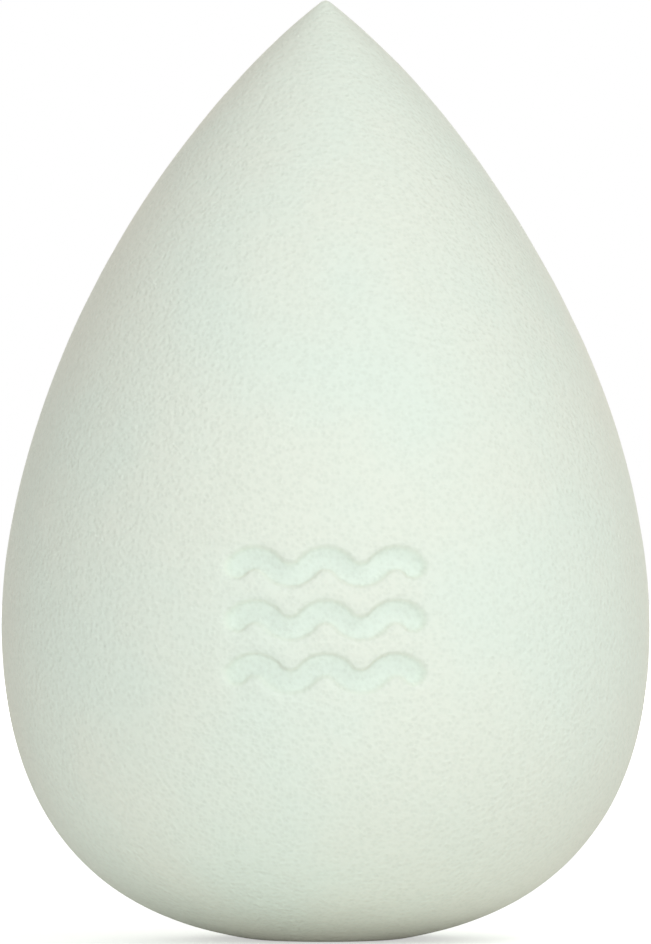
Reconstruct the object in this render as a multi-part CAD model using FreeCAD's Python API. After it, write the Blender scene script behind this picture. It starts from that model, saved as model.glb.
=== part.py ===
# A drop-shaped makeup sponge: one piece of open-cell foam with a pressed mark on its front.
# The foam is built as five zones stacked on its axis, which meet face to face on level planes.
# Two of them give way in use. The squeeze band shortens when the sponge is dabbed, and the bend band
# folds when the tip is pressed sideways. The base, the waist and the tip keep their shape.
# Millimetres, +Z up. The origin is the centre of the flat that the sponge stands on.
# The pressed mark, three water waves, faces -Y.
import FreeCAD, Part
import math
import os

# Outline of the relaxed foam. Heights are above its lowest point.
relaxed_height = 60.0
widest_radius = 20.6
widest_height = 20.1
# A reach is how far a curve runs straight on before it turns away from its end's direction.
base_reach = 16.5
side_reach = 9.9
flank_reach = 13.9
tip_reach = 14.5
tip_half_angle = 51.2
tip_radius = 0.5

# The foam gives a little where it stands, and is flat there
flat_depth = 0.3

# Zones, from the floor up. The squeeze band fills the height that the others leave.
base_zone_height = 27.5
waist_zone_height = 3.5
bend_band_height = 9.0
tip_zone_height = 7.2

# Pressed mark: wavy grooves, each a row of equal arcs that swing up and down
mark_level = 20.6
mark_line_count = 3
mark_line_spacing = 3.3
wave_arc_count = 5
wave_arc_width = 2.2
wave_slope = 50.0
groove_width = 1.4
groove_depth = 0.6

# How far a cutting shape runs past what it cuts
cut_overrun = 5.0

full_turn = 360.0
origin = FreeCAD.Vector(0, 0, 0)
up = FreeCAD.Vector(0, 0, 1)

# Levels above the floor
dome_bottom = -flat_depth
widest_level = widest_height - flat_depth
tip_top = relaxed_height - flat_depth
base_top = base_zone_height
tip_bottom = tip_top - tip_zone_height
bend_bottom = tip_bottom - bend_band_height
waist_bottom = bend_bottom - waist_zone_height


def point(x, z, y=0):
    """A point of the outline or of the mark, on an upright plane that faces the front."""
    return FreeCAD.Vector(x, y, z)


def curve(poles):
    """An edge that leaves its first pole towards the second and arrives from the third at the last."""
    bezier = Part.BezierCurve()
    bezier.setPoles(poles)
    return bezier.toShape()


def arc(start, middle, end):
    """A round edge through three points."""
    return Part.Arc(start, middle, end).toShape()


def drop(inset=0):
    """The relaxed foam, turned about its axis. An inset drop is slimmer by that much at its girth."""
    girth = widest_radius - inset
    lean = math.radians(tip_half_angle)
    tip_centre = tip_top - tip_radius
    # The flank runs into the tip's small round end where the round end leans as the flank does
    tip_start = point(tip_radius * math.cos(lean), tip_centre + tip_radius * math.sin(lean))
    tip_approach = tip_start - point(-math.sin(lean), math.cos(lean)) * tip_reach
    half_lean = (lean + math.pi / 2) / 2
    tip_middle = point(tip_radius * math.cos(half_lean), tip_centre + tip_radius * math.sin(half_lean))
    widest = point(girth, widest_level)
    underside = curve(
        [
            point(0, dome_bottom),
            point(base_reach, dome_bottom),
            point(girth, widest_level - side_reach),
            widest,
        ]
    )
    flank = curve([widest, point(girth, widest_level + flank_reach), tip_approach, tip_start])
    tip_round = arc(tip_start, tip_middle, point(0, tip_top))
    axis = Part.LineSegment(point(0, tip_top), point(0, dome_bottom)).toShape()
    half_section = Part.Face(Part.Wire([underside, flank, tip_round, axis]))
    return half_section.revolve(origin, up, full_turn)


def wave_groove(level):
    """One wavy line of the mark as an upright cutter: a band of arcs with round ends, pushed back from
    in front of the foam to its axis."""
    slope = math.radians(wave_slope)
    swing_radius = wave_arc_width / (2 * math.sin(slope))
    half_width = groove_width / 2
    front = -(widest_radius + cut_overrun)

    def swing_edge(index, side):
        """One arc of the line's upper side (+1) or lower side (-1), from left to right."""
        crest = 1 if index % 2 == 0 else -1
        centre_x = (index - (wave_arc_count - 1) / 2) * wave_arc_width
        centre_z = level - crest * swing_radius * math.cos(slope)
        radius = swing_radius + crest * side * half_width
        return [
            point(centre_x + radius * math.sin(turn), centre_z + crest * radius * math.cos(turn), front)
            for turn in (-slope, 0, slope)
        ]

    upper = [swing_edge(index, 1) for index in range(wave_arc_count)]
    lower = [swing_edge(index, -1) for index in range(wave_arc_count)]
    line_end = wave_arc_count * wave_arc_width / 2
    cap_x = line_end + half_width * math.cos(slope)
    cap_z = level - half_width * math.sin(slope)
    edges = [arc(*points) for points in upper]
    edges.append(arc(upper[-1][-1], point(cap_x, cap_z, front), lower[-1][-1]))
    edges += [arc(*reversed(points)) for points in reversed(lower)]
    edges.append(arc(lower[0][0], point(-cap_x, cap_z, front), upper[0][0]))
    return Part.Face(Part.Wire(edges)).extrude(FreeCAD.Vector(0, -front, 0))


def pressed_mark():
    """What the press takes out of the foam's front: the wavy lines, down to one depth below the girth."""
    floor_of_grooves = drop(groove_depth)
    first_level = mark_level - (mark_line_count - 1) / 2 * mark_line_spacing
    return [
        wave_groove(first_level + line * mark_line_spacing).cut(floor_of_grooves)
        for line in range(mark_line_count)
    ]


def zone(foam, bottom, top):
    """The slice of the foam between two levels."""
    slab = Part.makeCylinder(widest_radius + cut_overrun, top - bottom, point(0, bottom))
    return foam.common(slab)


def rounded_base(foam):
    """The broad end, cut flat where it stands and pressed with the mark."""
    base = zone(foam, 0, base_top)
    for groove in pressed_mark():
        base = base.cut(groove)
    return base


def main():
    foam = drop()
    zones = {
        "rounded_base": rounded_base(foam),
        "squeeze_band": zone(foam, base_top, waist_bottom),
        "waist": zone(foam, waist_bottom, bend_bottom),
        "bend_band": zone(foam, bend_bottom, tip_bottom),
        "pointed_tip": zone(foam, tip_bottom, tip_top + cut_overrun),
    }
    os.makedirs("parts", exist_ok=True)
    for name, solid in zones.items():
        solid.exportStep(f"parts/{name}.step")
        box = solid.BoundBox
        print(f"{name}: {solid.Volume:.1f} mm3, from {box.ZMin:.2f} to {box.ZMax:.2f} mm high")


main()
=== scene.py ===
import itertools
import math

import bpy
import numpy as np
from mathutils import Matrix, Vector


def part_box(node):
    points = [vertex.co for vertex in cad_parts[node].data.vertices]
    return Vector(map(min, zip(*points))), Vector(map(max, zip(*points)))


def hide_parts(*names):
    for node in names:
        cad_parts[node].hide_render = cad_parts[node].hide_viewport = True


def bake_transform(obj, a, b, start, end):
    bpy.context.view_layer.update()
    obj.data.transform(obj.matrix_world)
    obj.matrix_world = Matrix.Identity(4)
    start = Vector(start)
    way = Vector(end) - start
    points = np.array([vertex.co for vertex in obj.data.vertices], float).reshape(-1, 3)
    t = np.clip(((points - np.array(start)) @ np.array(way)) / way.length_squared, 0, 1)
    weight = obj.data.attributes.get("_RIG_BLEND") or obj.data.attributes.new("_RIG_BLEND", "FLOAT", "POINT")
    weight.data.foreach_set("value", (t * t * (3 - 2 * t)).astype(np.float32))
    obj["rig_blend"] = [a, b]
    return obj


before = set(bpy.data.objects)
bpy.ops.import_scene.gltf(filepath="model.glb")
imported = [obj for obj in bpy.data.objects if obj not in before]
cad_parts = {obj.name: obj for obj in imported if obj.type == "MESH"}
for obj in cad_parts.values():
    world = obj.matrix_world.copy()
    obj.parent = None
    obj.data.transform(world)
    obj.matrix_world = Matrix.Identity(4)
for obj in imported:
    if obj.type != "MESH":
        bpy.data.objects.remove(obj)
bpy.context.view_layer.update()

# Foam body: the sponge's broad end, up to the level where the tip begins to bend. It is soft open-cell
# foam, moulded in one piece with the tip, and stands on a small patch where it gives and lies flat.
# Three water waves are pressed into its front. Lengths are in metres.
relaxed_height = 0.0600
widest_radius = 0.0206
widest_height = 0.0201
base_reach = 0.0165
side_reach = 0.0099
flank_reach = 0.0139
tip_reach = 0.0145
tip_half_angle = math.radians(51.2)
tip_radius = 0.0005
outline_points = 400

flat_depth = 0.0003
flat_edge_rounding = 0.00006

seam_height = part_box("waist")[0].z


def bezier(poles):
    """Points of a cubic curve: for t from 0 to 1, the four poles weighted by (1-t)^3, 3t(1-t)^2,
    3t^2(1-t) and t^3, and added."""
    t = np.linspace(0, 1, outline_points)[:, None]
    weights = np.hstack([(1 - t) ** 3, 3 * t * (1 - t) ** 2, 3 * t**2 * (1 - t), t**3])
    return weights @ np.array(poles)


def foam_outline():
    """Radius and height above the floor along half the foam's outline, from the middle of its underside
    to its tip: a curve out to the girth, a curve in to the tip, and the tip's small round end. The relaxed
    foam's height h above the floor becomes (h + sqrt(h^2 + rounding^2)) / 2: all but unchanged above the
    floor, flat where it would reach below it, and soft at the edge between."""
    tip_centre = relaxed_height - tip_radius
    lean = np.array([math.cos(tip_half_angle), math.sin(tip_half_angle)])
    tip_start = (0, tip_centre) + tip_radius * lean
    tip_approach = tip_start + tip_reach * np.array([lean[1], -lean[0]])
    widest = (widest_radius, widest_height)
    underside = bezier([(0, 0), (base_reach, 0), (widest_radius, widest_height - side_reach), widest])
    flank = bezier([widest, (widest_radius, widest_height + flank_reach), tip_approach, tip_start])
    turn = np.linspace(tip_half_angle, math.pi / 2, outline_points)
    tip_end = np.column_stack([tip_radius * np.cos(turn), tip_centre + tip_radius * np.sin(turn)])
    radius, height = np.vstack([underside, flank[1:], tip_end[1:]]).T
    height = height - flat_depth
    return radius, (height + np.sqrt(height**2 + flat_edge_rounding**2)) / 2


outline_radius, outline_height = foam_outline()
outline_steps = np.hypot(np.diff(outline_radius), np.diff(outline_height))
outline_length = np.concatenate([[0], np.cumsum(outline_steps)])
seam_length = np.interp(seam_height, outline_height, outline_length)

lattice_points = 64
lump_seed = 7
# Each kind of unevenness: how wide its lumps are, and how far they stand out
lumps = {"moulding": (0.011, 0.00005), "cells": (0.0022, 0.00002)}


def smooth_step(values):
    """Goes from 0 to 1 as the values do, by 3t^2 - 2t^3, and stays level beyond them."""
    t = np.clip(values, 0, 1)
    return t * t * (3 - 2 * t)


def unevenness(points, lump_width, seed):
    """Random heights from -1 to 1 in lumps of one width: random values on the points of a cubic lattice,
    blended between its eight nearest points by smooth steps."""
    lattice = np.random.default_rng(seed).uniform(-1, 1, (lattice_points,) * 3)
    place = points / lump_width
    corner = np.floor(place).astype(int)
    share = smooth_step(place - corner)
    heights = np.zeros(points.shape[:-1])
    for side in itertools.product((0, 1), repeat=3):
        weight = np.prod(np.where(side, share, 1 - share), axis=-1)
        heights += weight * lattice[tuple(np.moveaxis((corner + side) % lattice_points, -1, 0))]
    return heights


mark_height = 0.0206
wave_count = 3
wave_spacing = 0.0033
swing_count = 5
swing_width = 0.0022
swing_slope = math.radians(50)
groove_width = 0.0014
groove_depth = 0.0006
wall_width = 0.0003
shoulder_width = 0.0013
shoulder_share = 0.3


def wave_distance(x, z):
    """Distance from a point of the front to the nearest wave. A wave is a row of equal arcs that swing up
    and down in turn: within an arc's span the distance is to its circle, and beyond it to its nearer
    end."""
    swing_radius = swing_width / (2 * math.sin(swing_slope))
    centre_drop = swing_radius * math.cos(swing_slope)
    nearest = np.full(x.shape, np.inf)
    for wave, swing in itertools.product(range(wave_count), range(swing_count)):
        crest = 1 if swing % 2 == 0 else -1
        level = mark_height + (wave - (wave_count - 1) / 2) * wave_spacing
        across = x - (swing - (swing_count - 1) / 2) * swing_width
        above = (z - level) * crest + centre_drop
        to_arc = np.abs(np.hypot(across, above) - swing_radius)
        to_end = np.hypot(np.abs(across) - swing_width / 2, above - centre_drop)
        within = np.abs(np.arctan2(across, above)) <= swing_slope
        nearest = np.minimum(nearest, np.where(within, to_arc, to_end))
    return nearest


columns = 480
front_crowding = 0.7


def foam_surface(lengths):
    """The foam's skin as rings of points, one ring for each length along the outline. The turn of a point
    from the front is u - crowding * sin(u) for even steps of u, so that the points stand closest round the
    mark. Each point is then moved along the outline's normal by the foam's unevenness, less the depth of
    the mark: a steep wall beside the groove's floor, and a shallow shoulder that reaches out beyond it.
    Also gives each point's place before it was moved, and how deep it is pressed, from 0 to 1."""

    def along_outline(values):
        """The outline's values at the rings' lengths, with a row for each ring."""
        return np.interp(lengths, outline_length, values)[:, None]

    step = np.arange(columns) * (2 * math.pi / columns)
    angle = step - front_crowding * np.sin(step) - math.pi / 2
    radius = along_outline(outline_radius)
    height = along_outline(outline_height)
    lean_out = along_outline(np.gradient(outline_height, outline_length))
    lean_up = -along_outline(np.gradient(outline_radius, outline_length))
    out = np.stack(np.broadcast_arrays(np.cos(angle), np.sin(angle), 0), axis=-1)
    up = np.array([0, 0, 1])
    place = radius[..., None] * out + height[..., None] * up
    normal = lean_out[..., None] * out + lean_up[..., None] * up
    raised = np.zeros(place.shape[:-1])
    for index, (width, depth) in enumerate(lumps.values()):
        raised += depth * unevenness(place, width, lump_seed + index)
    raised *= np.clip(height / flat_depth, 0, 1)
    inside = groove_width / 2 - wave_distance(place[..., 0], place[..., 2])
    wall = smooth_step(inside / wall_width + 1 / 2)
    shoulder = smooth_step(inside / shoulder_width + 1 / 2)
    at_front = place[..., 1] < 0
    pressed = at_front * (wall + shoulder_share * (shoulder - wall))
    moved = place + (raised - groove_depth * pressed)[..., None] * normal
    return moved, place, pressed


def closed_foam(name, lengths, bottom_height, top_height, open_ring):
    """A closed mesh through the rings of the foam's skin: four-sided faces between neighbouring rings, and
    a fan of triangles to a point on the axis at each end. The open ring, where the foam goes on in the
    next piece, keeps a sharp edge, so that the skin is shaded without the flat cap. Each point's place is
    kept as an attribute in metres, for the grain, and so is the depth of the mark."""
    moved, place, pressed = foam_surface(lengths)
    rings = len(lengths)
    ends = np.array([(0, 0, bottom_height), (0, 0, top_height)])
    points = np.vstack([moved.reshape(-1, 3), ends])
    places = np.vstack([place.reshape(-1, 3), ends])
    index = np.arange(rings * columns).reshape(rings, columns)
    following = np.roll(index, -1, axis=1)
    walls = np.stack([index[:-1], following[:-1], following[1:], index[1:]], axis=-1).reshape(-1, 4)
    bottom, top = rings * columns, rings * columns + 1
    floor_fan = np.stack([np.full(columns, bottom), following[0], index[0]], axis=-1)
    top_fan = np.stack([np.full(columns, top), index[-1], following[-1]], axis=-1)
    mesh = bpy.data.meshes.new(name)
    mesh.from_pydata(points.tolist(), [], walls.tolist() + floor_fan.tolist() + top_fan.tolist())
    mesh.shade_smooth()
    edge_ends = np.zeros(len(mesh.edges) * 2, int)
    mesh.edges.foreach_get("vertices", edge_ends)
    on_ring = np.isin(edge_ends.reshape(-1, 2), index[open_ring]).all(axis=1)
    depth = np.concatenate([pressed.ravel(), np.zeros(len(ends))])
    attributes = mesh.attributes
    attributes.new("sharp_edge", "BOOLEAN", "EDGE").data.foreach_set("value", on_ring)
    attributes.new("foam_place", "FLOAT_VECTOR", "POINT").data.foreach_set("vector", places.ravel())
    attributes.new("pressed", "FLOAT", "POINT").data.foreach_set("value", depth)
    foam = bpy.data.objects.new(name, mesh)
    bpy.context.scene.collection.objects.link(foam)
    return foam


# Rows of points from the middle of the underside up, closest across the mark
mark_bottom = 0.0155
mark_top = 0.0258
row_levels = (outline_height[0], mark_bottom, mark_top, seam_height)
row_counts = (60, 100, 42)
row_lengths = np.interp(row_levels, outline_height, outline_length)
body_lengths = np.concatenate(
    [
        np.linspace(start, end, count + 1)[1:]
        for start, end, count in zip(row_lengths[:-1], row_lengths[1:], row_counts)
    ]
)
sponge_body = closed_foam("sponge_body", body_lengths, outline_height[0], seam_height, open_ring=-1)

mint = (0.791, 0.890, 0.797, 1)
cream = (0.820, 0.882, 0.783, 1)
# Cooler mint of the pressed grooves: partly the colour of squeezed foam, partly painted bounce light that
# stands for the tinted light scattering inside a groove
pressed_mint_and_painted_bounce = (0.784, 0.890, 0.804, 1)
pore_mint = (0.62, 0.70, 0.61, 1)
warm_sheen = (1.0, 0.84, 0.70, 1)
roughness = 0.92
specular_level = 0.2
sheen_weight = 0.35
sheen_roughness = 0.6
cloud_width = 0.014
cloud_detail = 4
cloud_flattening = 1
cloud_limits = (0.35, 0.65)
grain_width = 0.00042
grain_detail = 1
grain_flattening = 1.3
grain_depth = 0.000058
# Ends of the foam's cells: how wide a cell is, the share of its width over which its dark middle fades
# out, how much the middle darkens the foam, and how far it is sunk, as a share of the grain's depth
cell_width = 0.00032
cell_fade = 0.75
cell_shade = 0.24
cell_sinking = 0.4
# Open pores: the width of the patches that hold one each, the share of a patch's width that a pore
# takes, the share of patches with one, and how much it darkens the foam
pore_spacing = 0.0021
pore_size = 0.07
pore_share = 0.2
pore_shade = 0.12


def ramp(tree, value, low, high, from_value, to_value):
    """A node for a value that goes smoothly from one number to another between two limits."""
    node = tree.nodes.new("ShaderNodeMapRange")
    node.interpolation_type = "SMOOTHSTEP"
    node.inputs["From Min"].default_value = low
    node.inputs["From Max"].default_value = high
    node.inputs["To Min"].default_value = from_value
    node.inputs["To Max"].default_value = to_value
    tree.links.new(value, node.inputs["Value"])
    return node.outputs["Result"]


def combine(tree, operation, first, second):
    """A node that joins two values by one operation."""
    node = tree.nodes.new("ShaderNodeMath")
    node.operation = operation
    tree.links.new(first, node.inputs[0])
    tree.links.new(second, node.inputs[1])
    return node.outputs["Value"]


def foam_finish():
    """Matte pale foam. Its colour drifts between mint and cream in clouds, and is a little cooler in the
    pressed grooves: partly the colour of squeezed foam, partly painted bounce light, the tinted light that
    scatters inside a groove. Its skin is softly grained, the ends of its cells are fine dark dots sunk into
    the grain, and here and there a larger pore is open."""
    material = bpy.data.materials.new("pale_foam")
    material.use_nodes = True
    tree = material.node_tree
    nodes, links = tree.nodes, tree.links
    shader = nodes["Principled BSDF"]
    shader.inputs["Roughness"].default_value = roughness
    shader.inputs["Specular IOR Level"].default_value = specular_level
    shader.inputs["Sheen Weight"].default_value = sheen_weight
    shader.inputs["Sheen Roughness"].default_value = sheen_roughness
    shader.inputs["Sheen Tint"].default_value = warm_sheen

    place = nodes.new("ShaderNodeAttribute")
    place.attribute_name = "foam_place"
    pressed = nodes.new("ShaderNodeAttribute")
    pressed.attribute_name = "pressed"

    def noise(width, detail, flattening):
        """Soft random values from 0 to 1 in lumps of one width, lower than they are wide by the
        flattening, and with finer lumps on them by the detail."""
        stretch = nodes.new("ShaderNodeVectorMath")
        stretch.operation = "MULTIPLY"
        stretch.inputs[1].default_value = (1, 1, flattening)
        links.new(place.outputs["Vector"], stretch.inputs[0])
        node = nodes.new("ShaderNodeTexNoise")
        node.inputs["Scale"].default_value = 1 / width
        node.inputs["Detail"].default_value = detail
        links.new(stretch.outputs["Vector"], node.inputs["Vector"])
        return node.outputs["Fac"]

    def patches(width):
        """Random patches of one width, each with a colour of its own and the distance from its middle."""
        node = nodes.new("ShaderNodeTexVoronoi")
        node.inputs["Scale"].default_value = 1 / width
        links.new(place.outputs["Vector"], node.inputs["Vector"])
        return node.outputs

    def open_pores():
        """Round spots in scattered patches, from 0 at a spot's edge to its shade in the middle."""
        pores = patches(pore_spacing)
        chance = nodes.new("ShaderNodeSeparateColor")
        links.new(pores["Color"], chance.inputs["Color"])
        spot = ramp(tree, pores["Distance"], 0, pore_size, pore_shade, 0)
        is_open = ramp(tree, chance.outputs["Red"], 0, pore_share, 1, 0)
        return combine(tree, "MULTIPLY", spot, is_open)

    def tint(share, under, over):
        """One colour laid over another by a share."""
        node = nodes.new("ShaderNodeMix")
        node.data_type = "RGBA"
        links.new(share, node.inputs["Factor"])
        colour_inputs = [socket for socket in node.inputs if socket.type == "RGBA"]
        for socket, colour in zip(colour_inputs, (under, over)):
            if isinstance(colour, tuple):
                socket.default_value = colour
            else:
                links.new(colour, socket)
        return next(socket for socket in node.outputs if socket.type == "RGBA")

    clouds = noise(cloud_width, cloud_detail, cloud_flattening)
    grain = noise(grain_width, grain_detail, grain_flattening)
    from_cell_middle = patches(cell_width)["Distance"]
    dots = ramp(tree, from_cell_middle, 0, cell_fade, cell_shade, 0)
    dents = ramp(tree, from_cell_middle, 0, cell_fade, cell_sinking, 0)
    darkening = combine(tree, "ADD", dots, open_pores())
    relief = combine(tree, "SUBTRACT", grain, dents)

    colour = tint(ramp(tree, clouds, *cloud_limits, 0, 1), mint, cream)
    # Painted bounce light, in part: the grooves are tinted cooler by how deep they are pressed, both for
    # squeezed foam and for the tinted light that scatters inside them
    colour = tint(pressed.outputs["Fac"], colour, pressed_mint_and_painted_bounce)
    colour = tint(darkening, colour, pore_mint)
    links.new(colour, shader.inputs["Base Color"])

    bump = nodes.new("ShaderNodeBump")
    bump.inputs["Distance"].default_value = grain_depth
    links.new(relief, bump.inputs["Height"])
    links.new(bump.outputs["Normal"], shader.inputs["Normal"])
    return material


pale_foam = foam_finish()
sponge_body.data.materials.append(pale_foam)
squash_start = 0.006
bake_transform(sponge_body, "base", "waist", start=(0, 0, squash_start), end=(0, 0, seam_height))
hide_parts("rounded_base", "squeeze_band")

# Foam tip: the sponge's pointed end, the same foam going on from the body without a seam. It follows the
# waist at its lower edge and bends over towards the point.
tip_rows = 104
tip_lengths = np.linspace(seam_length, outline_length[-1], tip_rows + 1)[:-1]
sponge_tip = closed_foam("sponge_tip", tip_lengths, seam_height, outline_height[-1], open_ring=0)
sponge_tip.data.materials.append(pale_foam)
bend_start = seam_height
bend_end = 0.058
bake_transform(sponge_tip, "waist", "tip", start=(0, 0, bend_start), end=(0, 0, bend_end))
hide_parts("waist", "bend_band", "pointed_tip")

# Floor: a wide sheet of pale card under the sponge, which reads as white and keeps the soft shadow. The
# room beyond it is white to the eye and soft light to the foam.
floor_reach = 1.5
card_white = (0.92, 0.92, 0.91, 1)
card_roughness = 1.0
card_specular_level = 0.0
# The card brightens towards the room's white: the distances from the sponge where that starts and ends,
# and the card's glow at each of them
glow_limits = (0.15, 0.6)
near_glow = 0.55
far_glow = 1.0
room_white = (1, 1, 1, 1)
room_strength = 0.42
seen_strength = 1.0


def seen_directly(tree):
    """A value that is 1 for rays from the eye, by themselves or off a shiny or through a clear surface."""
    rays = tree.nodes.new("ShaderNodeLightPath").outputs
    shiny_or_clear = combine(tree, "MAXIMUM", rays["Is Glossy Ray"], rays["Is Transmission Ray"])
    return combine(tree, "MAXIMUM", rays["Is Camera Ray"], shiny_or_clear)


def white_floor():
    """A wide square sheet at the height that the sponge stands on."""
    corners = [(-floor_reach, -floor_reach, 0), (floor_reach, -floor_reach, 0)]
    corners += [(floor_reach, floor_reach, 0), (-floor_reach, floor_reach, 0)]
    mesh = bpy.data.meshes.new("floor")
    mesh.from_pydata(corners, [], [(0, 1, 2, 3)])
    floor = bpy.data.objects.new("floor", mesh)
    bpy.context.scene.collection.objects.link(floor)
    material = bpy.data.materials.new("white_card")
    material.use_nodes = True
    tree = material.node_tree
    nodes, links = tree.nodes, tree.links
    shader = nodes["Principled BSDF"]
    shader.inputs["Base Color"].default_value = card_white
    shader.inputs["Roughness"].default_value = card_roughness
    shader.inputs["Specular IOR Level"].default_value = card_specular_level
    shader.inputs["Emission Color"].default_value = card_white
    place = nodes.new("ShaderNodeTexCoord")
    distance = nodes.new("ShaderNodeVectorMath")
    distance.operation = "LENGTH"
    links.new(place.outputs["Object"], distance.inputs["Vector"])
    brightening = ramp(tree, distance.outputs["Value"], *glow_limits, near_glow, far_glow)
    glow = combine(tree, "MULTIPLY", brightening, seen_directly(tree))
    links.new(glow, shader.inputs["Emission Strength"])
    mesh.materials.append(material)
    return floor


white_floor()

room = bpy.data.worlds.new("white_room")
bpy.context.scene.world = room
room.use_nodes = True
room_nodes, room_links = room.node_tree.nodes, room.node_tree.links
light_on_foam = room_nodes["Background"]
light_on_foam.inputs["Color"].default_value = room_white
light_on_foam.inputs["Strength"].default_value = room_strength
light_to_eye = room_nodes.new("ShaderNodeBackground")
light_to_eye.inputs["Color"].default_value = room_white
light_to_eye.inputs["Strength"].default_value = seen_strength
room_mix = room_nodes.new("ShaderNodeMixShader")
room_links.new(seen_directly(room.node_tree), room_mix.inputs[0])
room_links.new(light_on_foam.outputs["Background"], room_mix.inputs[1])
room_links.new(light_to_eye.outputs["Background"], room_mix.inputs[2])
room_links.new(room_mix.outputs["Shader"], room_nodes["World Output"].inputs["Surface"])

# Lamps: soft boxes that face the sponge. The main one stands in front, above and to the right, a low
# strip fills the front, and a wide one lights the back.
lamp_target = Vector((0, 0, 0.03))
# Each lamp: where it stands, the width and height of its face, and its power in watts
lamps = {
    "main_lamp": ((0.31, -0.28, 0.60), (0.4, 0.4), 1.32),
    "front_lamp": ((0, -0.70, 0.035), (0.58, 0.06), 1.9),
    "back_lamp": ((0, 0.70, 0.25), (0.6, 0.3), 2.0),
}
for name, (place, (width, height), power) in lamps.items():
    lamp = bpy.data.lights.new(name, "AREA")
    lamp.shape = "RECTANGLE"
    lamp.size = width
    lamp.size_y = height
    lamp.energy = power
    soft_box = bpy.data.objects.new(name, lamp)
    soft_box.location = place
    soft_box.rotation_euler = (lamp_target - Vector(place)).to_track_quat("-Z", "Y").to_euler()
    soft_box.visible_camera = False
    bpy.context.scene.collection.objects.link(soft_box)

# Camera: level with the sponge's middle, far enough away that it shows the outline square on. The
# relaxed sponge is as tall as all but one of the photo's rows of pixels.
photo_height = 944
outline_pixels = 943
camera_distance = 0.6
# The longer side of the camera's sensor, in millimetres
sensor_size = 36.0
camera_data = bpy.data.cameras.new("camera")
camera_data.sensor_width = sensor_size
camera_data.lens = sensor_size * camera_distance / (relaxed_height * photo_height / outline_pixels)
camera = bpy.data.objects.new("camera", camera_data)
camera.location = (0, -camera_distance, relaxed_height / 2 - flat_depth)
camera.rotation_euler = (math.pi / 2, 0, 0)
bpy.context.scene.collection.objects.link(camera)
bpy.context.scene.camera = camera
bpy.context.scene.view_settings.view_transform = "Standard"
